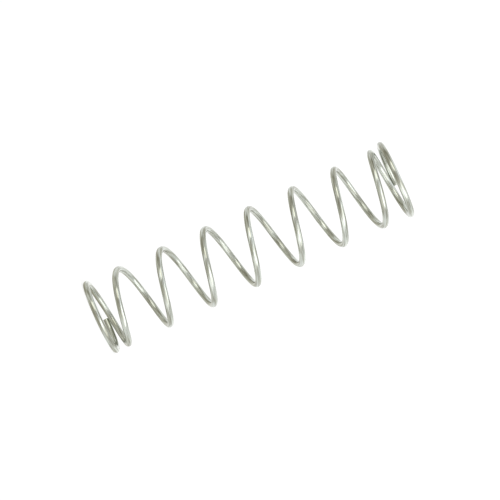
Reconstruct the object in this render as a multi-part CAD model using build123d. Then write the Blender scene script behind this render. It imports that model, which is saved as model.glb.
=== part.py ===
from build123d import *
from dataclasses import dataclass
import math
import os

# Throttle spring: one round wire wound left-handed into an open cylindrical coil.
# Both ends are closed and left unground, and the wire is cut off square at each tip.
# Millimetres, +Z up along the coil axis. The spring stands on its lower end coil,
# with the axis on X = Y = 0 and both tips at the back, on the +Y side.

# Driving dimensions
wire_diameter = 1.05
mean_diameter = 12.0        # coil diameter measured to the middle of the wire
turns = 9.0                 # from one tip to the other
open_pitch = 8.05           # rise of one turn in the middle of the spring
coil_gap = 0.05             # air left between each tip and the coil it closes on
hand = -1                   # -1 winds left-handed, +1 right-handed
tip_direction = 90.0        # where the lower tip is, in degrees round from +X

lower_closed_turns = 0.72   # turns at the lower end before the pitch starts to open
lower_rise_turns = 0.3      # how quickly the pitch opens there, in turns
lower_spread = 0.6          # how far the lower tip stands out past the coil's radius
lower_spread_turns = 0.4    # length of wire over which it comes out to there

upper_closed_turns = 0.64
upper_rise_turns = 0.62
upper_spread = 0.75
upper_spread_turns = 1.5

arcs_per_turn = 16          # circular arcs that follow one turn of the wire


@dataclass
class EndCoil:
    """One closed end of the spring. Distances along the wire are in turns from its tip."""

    closed_turns: float
    rise_turns: float
    spread: float
    spread_turns: float

    def outward(self, distance):
        """Extra radius of the wire, largest at the tip."""
        left = max(0.0, 1.0 - distance / self.spread_turns)
        return self.spread * left ** 2

    def opened(self, distance):
        """Turns' worth of full opening that the pitch has gathered."""
        past = max(0.0, distance - self.closed_turns)
        return past - self.rise_turns * (1.0 - math.exp(-past / self.rise_turns))

    def closed_pitch(self):
        """Pitch of the closed part that leaves the tip clear of the next coil by the gap."""
        reach = wire_diameter + coil_gap
        sideways = self.outward(0.0) - self.outward(1.0)
        tip_rise = math.sqrt(reach ** 2 - min(abs(sideways), 0.9 * reach) ** 2)
        share = self.opened(1.0)
        return (tip_rise - open_pitch * share) / (1.0 - share)

    def height(self, distance):
        """How far the wire has risen from its tip."""
        low = self.closed_pitch()
        return low * distance + (open_pitch - low) * self.opened(distance)

    def dip(self):
        """How far the closed part drops past its tip, where its pitch runs backwards."""
        low = self.closed_pitch()
        if low >= 0:
            return 0.0
        turning = self.closed_turns + self.rise_turns * math.log(1.0 - low / open_pitch)
        return -self.height(turning)


lower_end = EndCoil(lower_closed_turns, lower_rise_turns, lower_spread, lower_spread_turns)
upper_end = EndCoil(upper_closed_turns, upper_rise_turns, upper_spread, upper_spread_turns)


def wire_middle(turn):
    """Point in the middle of the wire, a number of turns up from the lower tip."""
    half = turns / 2
    if turn < half:
        level = lower_end.height(turn)
    else:
        tip_to_tip = lower_end.height(half) + upper_end.height(half)
        level = tip_to_tip - upper_end.height(turns - turn)
    level += wire_diameter / 2 + lower_end.dip()
    radius = mean_diameter / 2 + lower_end.outward(turn) + upper_end.outward(turns - turn)
    angle = math.radians(tip_direction + hand * 360 * turn)
    return (radius * math.cos(angle), radius * math.sin(angle), level)


def wire_path():
    """The middle of the wire as arcs through points of the coil, each tangent to the last."""
    steps = round(turns * arcs_per_turn)
    points = [wire_middle(turns * i / steps) for i in range(steps + 1)]
    arcs = [ThreePointArc(*points[:3])]
    for point in points[3:]:
        arcs.append(TangentArc(arcs[-1] @ 1, point, tangent=arcs[-1] % 1))
    return Wire(arcs)


def spring_wire():
    """The whole spring: a round section carried along the coil, cut square at both tips."""
    path = wire_path()
    section = Plane(origin=path @ 0, z_dir=path % 0) * Circle(wire_diameter / 2)
    return sweep(section, path=path)


spring = spring_wire()
spring.label = "spring"

os.makedirs("parts", exist_ok=True)
export_step(spring, "parts/spring.step")
print("volume mm3", round(spring.volume, 2), "box", spring.bounding_box())
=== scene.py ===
"""Throttle spring in bright drawn wire, standing on its lower end coil on white paper.

The wire is modelled afresh at full smoothness along the same coil as the frame's node, which
it stands for. Its sizes are in millimetres, and so is its mesh until it is finished. The
studio's sizes are in metres, apart from those that say otherwise.
"""

import logging
import math
from collections.abc import Iterable, Mapping
from dataclasses import dataclass, field
from enum import Enum
from typing import Any

import bmesh
import bpy
from mathutils import Matrix, Vector

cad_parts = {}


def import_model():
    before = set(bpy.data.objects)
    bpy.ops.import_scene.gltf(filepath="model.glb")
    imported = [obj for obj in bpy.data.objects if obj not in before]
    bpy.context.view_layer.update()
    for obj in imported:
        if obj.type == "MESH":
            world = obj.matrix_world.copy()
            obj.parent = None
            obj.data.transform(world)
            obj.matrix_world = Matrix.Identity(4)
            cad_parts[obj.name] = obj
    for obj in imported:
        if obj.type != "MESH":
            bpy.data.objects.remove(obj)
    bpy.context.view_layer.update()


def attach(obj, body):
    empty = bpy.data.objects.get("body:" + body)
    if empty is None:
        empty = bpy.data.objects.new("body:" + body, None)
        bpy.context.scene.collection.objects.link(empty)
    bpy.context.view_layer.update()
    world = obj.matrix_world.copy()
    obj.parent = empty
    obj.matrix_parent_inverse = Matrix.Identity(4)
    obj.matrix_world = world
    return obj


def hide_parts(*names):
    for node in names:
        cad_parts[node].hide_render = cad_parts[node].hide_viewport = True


log = logging.getLogger("throttle_spring")

Colour = tuple[float, float, float, float]  # linear red, green and blue, and alpha

MM = 0.001                      # metres in a millimetre
IMAGE_SIDE = 500                # width and height of the picture, in pixels
STRAIGHT_WIRE = "straight_wire"  # each point's place on the same wire laid out straight, in mm
COMPASS_START = -90.0           # azimuth at which a radial gradient starts, in degrees
EASED = {"interpolation_type": "SMOOTHSTEP"}  # for a Map Range without a kink at either end


class Hand(Enum):
    """Which way the wire climbs."""

    LEFT = -1
    RIGHT = 1


def linear(hex_colour: str) -> Colour:
    """Turns an sRGB hex colour into the linear values that shaders take.

    Args:
        hex_colour: Six hex digits after a hash sign.

    Returns:
        Red, green, blue and an alpha of one.
    """
    channels = [int(hex_colour[i:i + 2], 16) / 255 for i in (1, 3, 5)]
    red, green, blue = (
        c / 12.92 if c <= 0.04045 else ((c + 0.055) / 1.055) ** 2.4 for c in channels
    )
    return red, green, blue, 1.0


def add_node(
    tree: bpy.types.NodeTree,
    kind: str,
    settings: Mapping[str, Any] | None = None,
    inputs: Mapping[str | int, Any] | None = None,
) -> bpy.types.Node:
    """Adds a node, sets its properties, and fills or links its sockets.

    Args:
        tree: The node tree that gets the node.
        kind: The node's type name.
        settings: Property names and values.
        inputs: Socket names or numbers, each with a value or another node's output.

    Returns:
        The new node.
    """
    node = tree.nodes.new(kind)
    for name, value in (settings or {}).items():
        setattr(node, name, value)
    for name, value in (inputs or {}).items():
        if isinstance(value, bpy.types.NodeSocket):
            tree.links.new(value, node.inputs[name])
        else:
            node.inputs[name].default_value = value
    return node


def empty_material(name: str) -> tuple[bpy.types.Material, bpy.types.NodeTree]:
    """Makes a material with no nodes in it.

    Args:
        name: The material's common name.

    Returns:
        The material and its node tree.
    """
    material = bpy.data.materials.new(name)
    material.use_nodes = True
    material.node_tree.nodes.clear()
    return material, material.node_tree


def set_stops(
    ramp: bpy.types.Node, stops: Iterable[tuple[float, Colour]]
) -> bpy.types.NodeSocket:
    """Sets a colour ramp's stops.

    Args:
        ramp: The ramp's node.
        stops: Positions from 0 to 1 and the colour at each, in order.

    Returns:
        The ramp's colour output.
    """
    elements = ramp.color_ramp.elements
    for index, (position, colour) in enumerate(stops):
        element = elements[index] if index < len(elements) else elements.new(position)
        element.position = position
        element.color = colour
    return ramp.outputs["Color"]


def level_round_about(
    tree: bpy.types.NodeTree, place: bpy.types.NodeSocket, levels: Mapping[float, float]
) -> bpy.types.NodeSocket:
    """Gives a light level that changes smoothly with the direction round the spring.

    Args:
        tree: The node tree that gets the nodes.
        place: A direction, or a place on the floor, measured from the spring's axis.
        levels: Azimuths in degrees, from the front to the right, and the level at each.

    Returns:
        The level.
    """
    top = max(levels.values())      # a ramp ends at 1, so it holds shares of this
    compass = add_node(
        tree, "ShaderNodeTexGradient", {"gradient_type": "RADIAL"}, {"Vector": place}
    )
    ramp = add_node(tree, "ShaderNodeValToRGB", inputs={"Fac": compass.outputs["Fac"]})
    ramp.color_ramp.interpolation = "EASE"
    shares = sorted(
        ((azimuth - COMPASS_START) % 360 / 360, level / top) for azimuth, level in levels.items()
    )
    shares.append((1.0, shares[0][1]))
    share = set_stops(ramp, ((position, (grey, grey, grey, 1.0)) for position, grey in shares))
    level = add_node(tree, "ShaderNodeMath", {"operation": "MULTIPLY"}, {0: share, 1: top})
    return level.outputs["Value"]


def warm_where_dim(
    tree: bpy.types.NodeTree, level: bpy.types.NodeSocket
) -> bpy.types.NodeSocket:
    """Tints a light level khaki where it is low, as bare walls and a wooden bench would.

    Args:
        tree: The node tree that gets the node.
        level: The light level.

    Returns:
        The light's colour.
    """
    khaki_at, white_at = 0.35, 0.78
    tint = add_node(tree, "ShaderNodeValToRGB", inputs={"Fac": level})
    return set_stops(tint, [(khaki_at, linear("#FFF8DC")), (white_at, linear("#FFFFFF"))])


def direction(azimuth: float, elevation: float) -> Vector:
    """Finds which way a lamp or the camera lies from the spring.

    Args:
        azimuth: Degrees round from the front, to the right.
        elevation: Degrees above level.

    Returns:
        The direction, with a length of one.
    """
    turn, rise = math.radians(azimuth), math.radians(elevation)
    return Vector((
        math.sin(turn) * math.cos(rise), -math.cos(turn) * math.cos(rise), math.sin(rise)
    ))


def add_object(name: str, data: bpy.types.ID) -> bpy.types.Object:
    """Adds an object to the scene, at the origin.

    Args:
        name: The object's name.
        data: The mesh, lamp or camera that it shows.

    Returns:
        The object.
    """
    thing = bpy.data.objects.new(name, data)
    bpy.context.scene.collection.objects.link(thing)
    return thing


def sort_faces(bm: bmesh.types.BMesh) -> None:
    """Sorts a mesh's faces by their points, because extrusion leaves them in no fixed order.

    Args:
        bm: The mesh.
    """
    bm.verts.index_update()
    count = len(bm.verts)

    def rank(face: bmesh.types.BMFace) -> int:
        """The face's first and last point, as one number."""
        numbers = [vert.index for vert in face.verts]
        return min(numbers) * count + max(numbers)

    bm.faces.sort(key=rank)


def add_mesh(bm: bmesh.types.BMesh, name: str, material: bpy.types.Material) -> bpy.types.Object:
    """Adds a finished mesh to the scene.

    Args:
        bm: The mesh, in metres, which is freed.
        name: The object's name.
        material: What it is made of.

    Returns:
        The object, which sits at the origin.
    """
    sort_faces(bm)
    mesh = bpy.data.meshes.new(name)
    bm.to_mesh(mesh)
    bm.free()
    mesh.materials.append(material)
    return add_object(name, mesh)


def extrude(
    bm: bmesh.types.BMesh, edges: list[bmesh.types.BMEdge]
) -> tuple[list[bmesh.types.BMVert], list[bmesh.types.BMEdge]]:
    """Extrudes edges on the spot.

    Args:
        bm: The mesh that holds them.
        edges: The edges.

    Returns:
        The new points, ready to be moved, and the new edges.
    """
    made = bmesh.ops.extrude_edge_only(bm, edges=edges)["geom"]
    new_verts = [part for part in made if isinstance(part, bmesh.types.BMVert)]
    new_edges = [part for part in made if isinstance(part, bmesh.types.BMEdge)]
    return new_verts, new_edges


@dataclass(frozen=True)
class BrightDrawnSpringSteel:
    """Carbon spring steel pulled through a die and left bright.

    The die leaves fine lines that run along the wire, so highlights spread round the
    section. Lubricant and handling leave faint khaki patches that are longer than wide.
    """

    bright: str = "#CCD1C9"
    dull: str = "#9C9D90"
    bright_roughness: float = 0.13
    dull_roughness: float = 0.22
    line_spacing: float = 0.20      # mm; real die lines are finer and wouldn't show
    line_length: float = 3.4        # mm
    line_depth: float = 0.006       # mm
    line_relief: float = 0.5        # how much of that depth turns the reflections
    patch_width: float = 0.9        # mm round the wire
    patch_length: float = 3.2       # mm along the wire
    patch_noise: tuple[float, float] = (0.3, 0.7)  # where a patch is dullest and where it ends
    line_share: float = 0.70        # how much of the shading is lines, the rest being patches
    dull_until: float = 0.40        # the shading's value up to which the wire is all dull
    bright_from: float = 0.575      # and from which it is all bright

    def material(self) -> bpy.types.Material:
        """Builds the finish from the straight-wire coordinates of each point.

        Returns:
            The material.
        """
        material, tree = empty_material("bright_drawn_spring_steel")
        place = add_node(tree, "ShaderNodeAttribute", {"attribute_name": STRAIGHT_WIRE})
        patches = self._stretched(tree, place, self.patch_width, self.patch_length, detail=2.0)
        lines = self._stretched(tree, place, self.line_spacing, self.line_length, detail=1.0)
        marks = add_node(
            tree, "ShaderNodeMapRange",
            inputs={"Value": self.line_share, "To Min": patches, "To Max": lines},
        )
        tint = add_node(tree, "ShaderNodeValToRGB", inputs={"Fac": marks.outputs["Result"]})
        colour = set_stops(tint, [
            (self.dull_until, linear(self.dull)), (self.bright_from, linear(self.bright)),
        ])
        dullest, brightest = self.patch_noise
        rough = add_node(
            tree, "ShaderNodeMapRange",
            inputs={
                "Value": patches, "From Min": dullest, "From Max": brightest,
                "To Min": self.dull_roughness, "To Max": self.bright_roughness,
            },
        )
        relief = add_node(
            tree, "ShaderNodeBump",
            inputs={
                "Height": lines, "Strength": self.line_relief, "Distance": self.line_depth * MM,
            },
        )
        steel = add_node(
            tree, "ShaderNodeBsdfPrincipled",
            inputs={
                "Base Color": colour, "Metallic": 1.0,
                "Roughness": rough.outputs["Result"], "Normal": relief.outputs["Normal"],
            },
        )
        add_node(
            tree, "ShaderNodeOutputMaterial", inputs={"Surface": steel.outputs["BSDF"]}
        )
        return material

    def _stretched(
        self,
        tree: bpy.types.NodeTree,
        place: bpy.types.Node,
        across: float,
        along: float,
        detail: float,
    ) -> bpy.types.NodeSocket:
        """Noise drawn out along the wire.

        Args:
            tree: The material's node tree.
            place: The node that gives the straight-wire coordinates.
            across: Size of one spot round the wire, in mm.
            along: Its size along the wire, in mm.
            detail: Octaves of finer noise added.

        Returns:
            The noise value, about 0.5 in the middle.
        """
        scaled = add_node(
            tree, "ShaderNodeMapping",
            inputs={"Vector": place.outputs["Vector"],
                    "Scale": (1 / across, 1 / across, 1 / along)},
        )
        noise = add_node(
            tree, "ShaderNodeTexNoise",
            inputs={"Vector": scaled.outputs["Vector"], "Scale": 1.0, "Detail": detail},
        )
        return noise.outputs["Fac"]


@dataclass(frozen=True)
class WhitePaperWithPaintedReflections:
    """Matt white background paper: a flat white that still takes a soft shadow. Where the wire
    mirrors it, it glows with painted light and painted shade.

    Attributes:
        white: Its own colour.
        lift: Light added where the camera sees it.
        near: Light added where the wire mirrors the floor round it, by azimuth. It stands
            for the lamps' pools of light and the shade between them.
        far: The same for the rest of the floor and the backdrop.
        near_to_far: Where the one starts and ends turning into the other, in mm from the axis.
        top_share: How much of the far light is left high up on the backdrop.
        fade: The heights between which it falls to that, in mm.
        under: The level of painted shade that the near floor's glow draws towards right under the
            spring.
        under_share: How much of the change by azimuth is left there.
        under_reach: How far from the coil's axis all of it is back, in mm.
    """

    white: str = "#8C8C8C"
    lift: float = 0.80
    near: Mapping[float, float] = field(default_factory=lambda: {
        -90.0: 0.36, -54.0: 0.42, -33.0: 1.05, -14.0: 0.28, 10.0: 0.54, 45.0: 1.40, 93.0: 0.76,
        150.0: 0.80, 190.0: 0.58, 222.0: 0.30, 250.0: 0.60,
    })
    far: Mapping[float, float] = field(default_factory=lambda: {
        -90.0: 0.36, -54.0: 0.42, -33.0: 1.25, -14.0: 0.28, 10.0: 0.54, 45.0: 1.48, 93.0: 0.74,
        135.0: 1.02, 160.0: 0.92, 190.0: 0.92, 218.0: 0.78, 250.0: 0.92,
    })
    near_to_far: tuple[float, float] = (80.0, 220.0)
    top_share: float = 0.80
    fade: tuple[float, float] = (100.0, 600.0)
    under: float = 0.50
    under_share: float = 0.35
    under_reach: float = 45.0

    def material(self) -> bpy.types.Material:
        """Builds the paper, lifted to full white for what looks straight at it, and glowing with
        painted light and shade for what the wire mirrors.

        Returns:
            The material.
        """
        material, tree = empty_material("white_paper_with_painted_reflections")
        path = add_node(tree, "ShaderNodeLightPath")
        matt = add_node(tree, "ShaderNodeBsdfDiffuse", inputs={"Color": linear(self.white)})
        seen = add_node(
            tree, "ShaderNodeMath", {"operation": "MAXIMUM"},
            {0: path.outputs["Is Camera Ray"], 1: path.outputs["Is Transmission Ray"]},
        )
        in_camera = add_node(
            tree, "ShaderNodeMath", {"operation": "MULTIPLY"},
            {0: seen.outputs["Value"], 1: self.lift},
        )
        # Painted reflection: for glossy rays the paper glows with painted pools of lamp light and
        # painted shade between them.
        painted_reflection = add_node(
            tree, "ShaderNodeMath", {"operation": "MULTIPLY_ADD"},
            {
                0: path.outputs["Is Glossy Ray"], 1: self._painted_reflection_level(tree),
                2: in_camera.outputs["Value"],
            },
        )
        glow = add_node(
            tree, "ShaderNodeEmission",
            inputs={
                "Color": warm_where_dim(tree, painted_reflection.outputs["Value"]),
                "Strength": painted_reflection.outputs["Value"],
            },
        )
        both = add_node(
            tree, "ShaderNodeAddShader",
            inputs={0: matt.outputs["BSDF"], 1: glow.outputs["Emission"]},
        )
        add_node(
            tree, "ShaderNodeOutputMaterial", inputs={"Surface": both.outputs["Shader"]}
        )
        return material

    def _painted_reflection_level(self, tree: bpy.types.NodeTree) -> bpy.types.NodeSocket:
        """Works out the painted light and shade that the paper glows with where the wire mirrors
        it.

        Args:
            tree: The paper's node tree.

        Returns:
            The light level.
        """
        place = add_node(tree, "ShaderNodeTexCoord").outputs["Object"]
        height = add_node(tree, "ShaderNodeSeparateXYZ", inputs={"Vector": place}).outputs["Z"]
        length = add_node(tree, "ShaderNodeVectorMath", {"operation": "LENGTH"}, {0: place})
        away = length.outputs["Value"]
        # Painted shade: close to the coil's axis the mirrored glow draws towards the level set by
        # under.
        change = add_node(
            tree, "ShaderNodeMapRange", EASED,
            {"Value": away, "From Max": self.under_reach * MM, "To Min": self.under_share},
        )
        near = add_node(
            tree, "ShaderNodeMapRange",
            inputs={
                "Value": change.outputs["Result"],
                "To Min": self.under, "To Max": level_round_about(tree, place, self.near),
            },
        )
        # Painted fall-off: the glow that the wire mirrors dims higher up the backdrop.
        fade_start, fade_end = self.fade
        left = add_node(
            tree, "ShaderNodeMapRange", EASED,
            {
                "Value": height, "From Min": fade_start * MM, "From Max": fade_end * MM,
                "To Min": 1.0, "To Max": self.top_share,
            },
        )
        far = add_node(
            tree, "ShaderNodeMath", {"operation": "MULTIPLY"},
            {0: level_round_about(tree, place, self.far), 1: left.outputs["Result"]},
        )
        far_start, far_end = self.near_to_far
        level = add_node(
            tree, "ShaderNodeMapRange", EASED,
            {
                "Value": away, "From Min": far_start * MM, "From Max": far_end * MM,
                "To Min": near.outputs["Result"], "To Max": far.outputs["Value"],
            },
        )
        return level.outputs["Result"]


@dataclass(frozen=True)
class EndCoil:
    """How one end of the coil is closed, in turns and millimetres.

    Attributes:
        closed_turns: Turns before the pitch starts to open.
        rise_turns: How quickly it then opens.
        spread: How far the tip stands out past the coil's radius.
        spread_turns: Length of wire over which it comes out to there.
    """

    closed_turns: float
    rise_turns: float
    spread: float
    spread_turns: float

    def outward(self, distance: float) -> float:
        """Extra radius of the wire at a distance in turns from the tip."""
        return self.spread * max(0.0, 1.0 - distance / self.spread_turns) ** 2

    def opened(self, distance: float) -> float:
        """Turns' worth of full opening gathered up to a distance in turns from the tip."""
        past = max(0.0, distance - self.closed_turns)
        return past - self.rise_turns * (1.0 - math.exp(-past / self.rise_turns))


@dataclass
class CoilSpring:
    """One round wire wound into an open coil with closed, unground ends.

    Attributes:
        wire_diameter: Thickness of the wire, in millimetres as all lengths here.
        mean_diameter: The coil's diameter at the middle of the wire.
        turns: Turns of wire from tip to tip.
        open_pitch: Rise of one turn where the coil is fully open.
        coil_gap: Air between each tip and the coil that it closes on.
        hand: Which way the wire climbs.
        tip_direction: Where the lower tip lies, in degrees round from +X.
        lower: How the lower end is closed.
        upper: How the upper end is closed.
        stations_per_turn: Rings of mesh in a turn.
        sides: Points in a ring.
        tip_rounding: How far the cut rims are rounded.
        rounding_steps: Faces across that rounding.
        finish: What the wire's surface is.
    """

    wire_diameter: float = 1.05
    mean_diameter: float = 12.0
    turns: float = 9.0
    open_pitch: float = 8.05
    coil_gap: float = 0.05
    hand: Hand = Hand.LEFT
    tip_direction: float = 90.0
    lower: EndCoil = EndCoil(closed_turns=0.72, rise_turns=0.3, spread=0.6, spread_turns=0.4)
    upper: EndCoil = EndCoil(closed_turns=0.64, rise_turns=0.62, spread=0.75, spread_turns=1.5)
    stations_per_turn: int = 72
    sides: int = 28
    tip_rounding: float = 0.05
    rounding_steps: int = 3
    finish: BrightDrawnSpringSteel = field(default_factory=BrightDrawnSpringSteel)

    def _closed_pitch(self, end: EndCoil) -> float:
        """Works out the pitch at which an end's tip clears the next coil.

        Args:
            end: The end that is closed.

        Returns:
            The pitch of its closed part, in millimetres.
        """
        reach = self.wire_diameter + self.coil_gap
        most_aside = 0.9 * reach        # so that the tip still rises to lie on the next coil
        aside = min(abs(end.outward(0.0) - end.outward(1.0)), most_aside)
        tip_rise = math.sqrt(reach ** 2 - aside ** 2)
        share = end.opened(1.0)
        return (tip_rise - self.open_pitch * share) / (1.0 - share)

    def _height(self, distance: float, end: EndCoil) -> float:
        """Height between an end's tip and the wire a distance in turns away from it."""
        low = self._closed_pitch(end)
        return low * distance + (self.open_pitch - low) * end.opened(distance)

    def middle(self, turn: float) -> Vector:
        """Finds the middle of the wire.

        Args:
            turn: Turns up from the lower tip.

        Returns:
            The point, in millimetres.
        """
        half = self.turns / 2
        if turn < half:
            level = self._height(turn, self.lower)
        else:
            tip_to_tip = self._height(half, self.lower) + self._height(half, self.upper)
            level = tip_to_tip - self._height(self.turns - turn, self.upper)
        radius = self.mean_diameter / 2 + self.lower.outward(turn)
        radius += self.upper.outward(self.turns - turn)
        angle = math.radians(self.tip_direction + self.hand.value * 360 * turn)
        return Vector((
            radius * math.cos(angle),
            radius * math.sin(angle),
            level + self.wire_diameter / 2,
        ))

    def station(self, turn: float) -> Matrix:
        """Places the wire's section at a turn.

        Args:
            turn: Turns up from the lower tip.

        Returns:
            A matrix whose X points out from the coil's axis and Z runs along the wire.
        """
        nudge = 0.001                   # turns
        along = (self.middle(turn + nudge) - self.middle(turn - nudge)).normalized()
        place = self.middle(turn)
        out = Vector((place.x, place.y, 0.0))
        out = (out - along * out.dot(along)).normalized()
        axes = Matrix((out, along.cross(out), along)).transposed().to_4x4()
        return Matrix.Translation(place) @ axes

    def build(self) -> bpy.types.Object:
        """Models the wire and dresses it.

        Returns:
            The spring, in metres, ready to ride on its body.
        """
        bm = bmesh.new()
        straight = bm.verts.layers.float_vector.new(STRAIGHT_WIRE)
        self._sweep(bm, straight)
        self._close_tips(bm)
        bmesh.ops.recalc_face_normals(bm, faces=bm.faces)
        bmesh.ops.scale(bm, vec=(MM, MM, MM), verts=bm.verts)
        return add_mesh(bm, "coil_spring", self.finish.material())

    def _sweep(self, bm: bmesh.types.BMesh, straight: bmesh.types.BMLayerItem) -> None:
        """Carries a round section along the coil, ring by ring.

        Args:
            bm: The mesh being made, in millimetres.
            straight: The layer that keeps each point's place on the straight wire.
        """
        steps = round(self.turns * self.stations_per_turn)
        here = self.station(0.0)
        bmesh.ops.create_circle(
            bm, cap_ends=False, segments=self.sides, radius=self.wire_diameter / 2
        )
        for vert in bm.verts:
            vert[straight] = vert.co
        bmesh.ops.transform(bm, matrix=here, verts=bm.verts)
        ring = list(bm.edges)
        gone = 0.0
        for step in range(1, steps + 1):
            there = self.station(self.turns * step / steps)
            length = (there.translation - here.translation).length
            ring_verts, ring = extrude(bm, ring)
            bmesh.ops.transform(bm, matrix=there @ here.inverted(), verts=ring_verts)
            gone += length
            for vert in ring_verts:
                vert[straight] = vert[straight] + Vector((0.0, 0.0, length))
            here = there
        for face in bm.faces:
            face.smooth = True
        log.info("wire of %.1f mm in %d rings", gone, steps + 1)

    def _close_tips(self, bm: bmesh.types.BMesh) -> None:
        """Fills both cut ends and rounds their rims a little.

        Args:
            bm: The open wire, in millimetres.
        """
        rims = [edge for edge in bm.edges if edge.is_boundary]
        bmesh.ops.holes_fill(bm, edges=rims, sides=self.sides)
        bmesh.ops.bevel(
            bm, geom=rims, offset=self.tip_rounding, offset_type="OFFSET",
            affect="EDGES", segments=self.rounding_steps, profile=0.5, material=-1,
        )


@dataclass(frozen=True)
class SoftBox:
    """A tall lamp behind white cloth.

    Attributes:
        name: The lamp's name.
        azimuth: Degrees round from the front, to the right.
        elevation: Degrees above level.
        width: Its width, in metres.
        height: Its height, in metres.
        level: Its brightness, where a fully lit white sheet is 1.
        colour: The cloth's colour with the lamp on.
        distance: How far off it hangs, in metres.
    """

    name: str
    azimuth: float
    elevation: float
    width: float
    height: float
    level: float
    colour: str = "#FFFFFF"
    distance: float = 1.5

    def hang(self, look_at: Vector) -> None:
        """Hangs the lamp so that it faces a point.

        Args:
            look_at: The point, in metres.
        """
        lamp = bpy.data.lights.new(self.name, "AREA")
        lamp.shape = "RECTANGLE"
        lamp.size, lamp.size_y = self.width, self.height
        # A lamp of pi watts for each square metre is as bright as a white sheet at a level of 1.
        lamp.energy = math.pi * self.width * self.height * self.level
        lamp.color = linear(self.colour)[:3]
        away = direction(self.azimuth, self.elevation)
        box = add_object(self.name, lamp)
        box.location = look_at + away * self.distance
        box.rotation_euler = away.to_track_quat("Z", "Y").to_euler()


@dataclass
class Studio:
    """White paper that curves up behind the spring, two soft boxes and a plain room.

    Attributes:
        paper: What the sheet is.
        paper_width: Its width, in metres.
        paper_reach: Metres of it in front of the spring, and of height behind it.
        curve_start: How far behind the spring it starts to curve up, in metres.
        curve_radius: Radius of that curve, in metres.
        curve_steps: Faces along it.
        boxes: The lamps.
        overhead: The ceiling's brightness, where a fully lit white sheet is 1.
        overhead_colour: The ceiling's colour.
        walls_to_ceiling: Sines of the elevations between which one turns into the other.
        room_round: The walls' brightness by azimuth.
    """

    paper: WhitePaperWithPaintedReflections = field(default_factory=WhitePaperWithPaintedReflections)
    paper_width: float = 2.4
    paper_reach: float = 1.2
    curve_start: float = 0.25
    curve_radius: float = 0.25
    curve_steps: int = 24
    boxes: tuple[SoftBox, ...] = (
        SoftBox("right_soft_box", 45.0, 30.0, width=1.45, height=1.80, level=1.12),
        SoftBox(
            "left_soft_box", -34.0, 18.0, width=0.78, height=1.25, level=1.36, colour="#FEFCF0"
        ),
    )
    overhead: float = 1.25
    overhead_colour: str = "#F9FAFF"
    walls_to_ceiling: tuple[float, float] = (0.6, 1.0)
    room_round: Mapping[float, float] = field(default_factory=lambda: {
        -90.0: 0.50, -60.0: 0.62, -12.0: 0.76, 12.0: 1.00, 110.0: 0.92, 200.0: 0.90, 250.0: 0.94,
        260.0: 0.88,
    })

    def build(self, look_at: Vector) -> None:
        """Sets out the paper, the soft boxes and the room's own light.

        Args:
            look_at: The point that the soft boxes face, in metres.
        """
        self._paper()
        for box in self.boxes:
            box.hang(look_at)
        self._room()

    def _paper(self) -> None:
        """Lays the sheet on the floor and curves its far side up into a backdrop."""
        bm = bmesh.new()
        half = self.paper_width / 2
        corners = [bm.verts.new((x, -self.paper_reach, 0.0)) for x in (-half, half)]
        edges = [bm.edges.new(corners)]
        edges = self._drawn_on(bm, edges, Vector((0.0, self.paper_reach + self.curve_start, 0.0)))
        made = bmesh.ops.spin(
            bm, geom=edges, cent=(0.0, self.curve_start, self.curve_radius),
            axis=(1.0, 0.0, 0.0), angle=math.pi / 2, steps=self.curve_steps,
        )
        edges = [part for part in made["geom_last"] if isinstance(part, bmesh.types.BMEdge)]
        self._drawn_on(bm, edges, Vector((0.0, 0.0, self.paper_reach - self.curve_radius)))
        for face in bm.faces:
            face.smooth = True
        add_mesh(bm, "paper", self.paper.material())

    def _drawn_on(
        self, bm: bmesh.types.BMesh, edges: list[bmesh.types.BMEdge], way: Vector
    ) -> list[bmesh.types.BMEdge]:
        """Extrudes a sheet's edge.

        Args:
            bm: The sheet.
            edges: The edge to draw on.
            way: How far, and in which direction.

        Returns:
            The sheet's new edge.
        """
        new_verts, new_edges = extrude(bm, edges)
        bmesh.ops.translate(bm, vec=way, verts=new_verts)
        return new_edges

    def _room(self) -> None:
        """Lights the scene from all round, most from its bright side and from above."""
        world = bpy.data.worlds.new("plain_room")
        world.use_nodes = True
        tree = world.node_tree
        tree.nodes.clear()
        way = add_node(tree, "ShaderNodeTexCoord").outputs["Generated"]
        round_about = level_round_about(tree, way, self.room_round)
        up = add_node(tree, "ShaderNodeSeparateXYZ", inputs={"Vector": way}).outputs["Z"]
        walls_end, ceiling_start = self.walls_to_ceiling
        change = add_node(
            tree, "ShaderNodeMapRange", EASED,
            {"Value": up, "From Min": walls_end, "From Max": ceiling_start},
        )
        walls = add_node(
            tree, "ShaderNodeBackground",
            inputs={"Color": warm_where_dim(tree, round_about), "Strength": round_about},
        )
        ceiling = add_node(
            tree, "ShaderNodeBackground",
            inputs={"Color": linear(self.overhead_colour), "Strength": self.overhead},
        )
        light = add_node(
            tree, "ShaderNodeMixShader",
            inputs={
                0: change.outputs["Result"],
                1: walls.outputs["Background"], 2: ceiling.outputs["Background"],
            },
        )
        add_node(tree, "ShaderNodeOutputWorld", inputs={"Surface": light.outputs["Shader"]})
        bpy.context.scene.world = world


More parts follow.
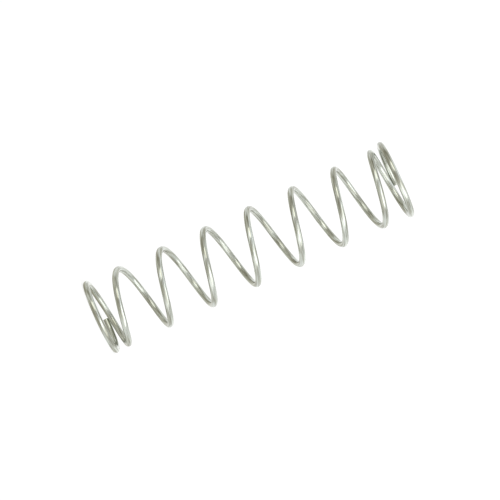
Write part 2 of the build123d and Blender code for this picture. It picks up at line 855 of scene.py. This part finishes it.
@dataclass
class PortraitCamera:
    """The photograph's viewpoint: level with the spring, close, and turned on its side.

    Attributes:
        azimuth: Degrees round from the front.
        elevation: Degrees above level.
        roll: Degrees by which it turns the spring towards the right.
        distance: How far it is from the middle of the spring, in mm.
        scale: Pixels for a millimetre at that distance.
        middle_pixel: Where the picture shows the middle of the spring.
        sensor: Width of the sensor, in mm.
        clip: The nearest and farthest that it sees, in metres.
    """

    azimuth: float = 6.25
    elevation: float = 0.709
    roll: float = 65.19
    distance: float = 336.7
    scale: float = 5.974
    middle_pixel: tuple[float, float] = (248.11, 248.00)
    sensor: float = 36.0
    clip: tuple[float, float] = (0.01, 20.0)

    def build(self, middle: Vector) -> None:
        """Places the camera.

        Args:
            middle: The middle of the coil's axis, in metres.
        """
        back = direction(self.azimuth, self.elevation)
        turn = math.radians(self.azimuth)
        right = Vector((math.cos(turn), math.sin(turn), 0.0))
        level = Matrix((right, back.cross(right), back)).transposed()
        axes = level @ Matrix.Rotation(math.radians(self.roll), 3, "Z")
        image_middle = (IMAGE_SIDE - 1) / 2
        aside = (image_middle - self.middle_pixel[0]) / self.scale
        above = (self.middle_pixel[1] - image_middle) / self.scale
        place = middle + MM * (axes @ Vector((aside, above, self.distance)))
        lens = bpy.data.cameras.new("camera")
        lens.sensor_width = self.sensor
        lens.lens = self.scale * self.distance * self.sensor / IMAGE_SIDE
        lens.clip_start, lens.clip_end = self.clip
        camera = add_object("camera", lens)
        camera.matrix_world = Matrix.Translation(place) @ axes.to_4x4()
        bpy.context.scene.camera = camera


def main() -> None:
    """Builds the spring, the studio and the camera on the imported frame."""
    logging.basicConfig(level=logging.INFO, format="%(name)s: %(message)s")
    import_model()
    spring = CoilSpring().build()
    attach(spring, "root")
    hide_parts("spring")
    log.info("%s: %d faces", spring.name, len(spring.data.polygons))
    heights = [vert.co.z for vert in spring.data.vertices]
    axis_middle = Vector((0.0, 0.0, (min(heights) + max(heights)) / 2))
    Studio().build(axis_middle)
    PortraitCamera().build(axis_middle)
    bpy.context.scene.view_settings.view_transform = "Standard"


if __name__ == "__main__":
    main()
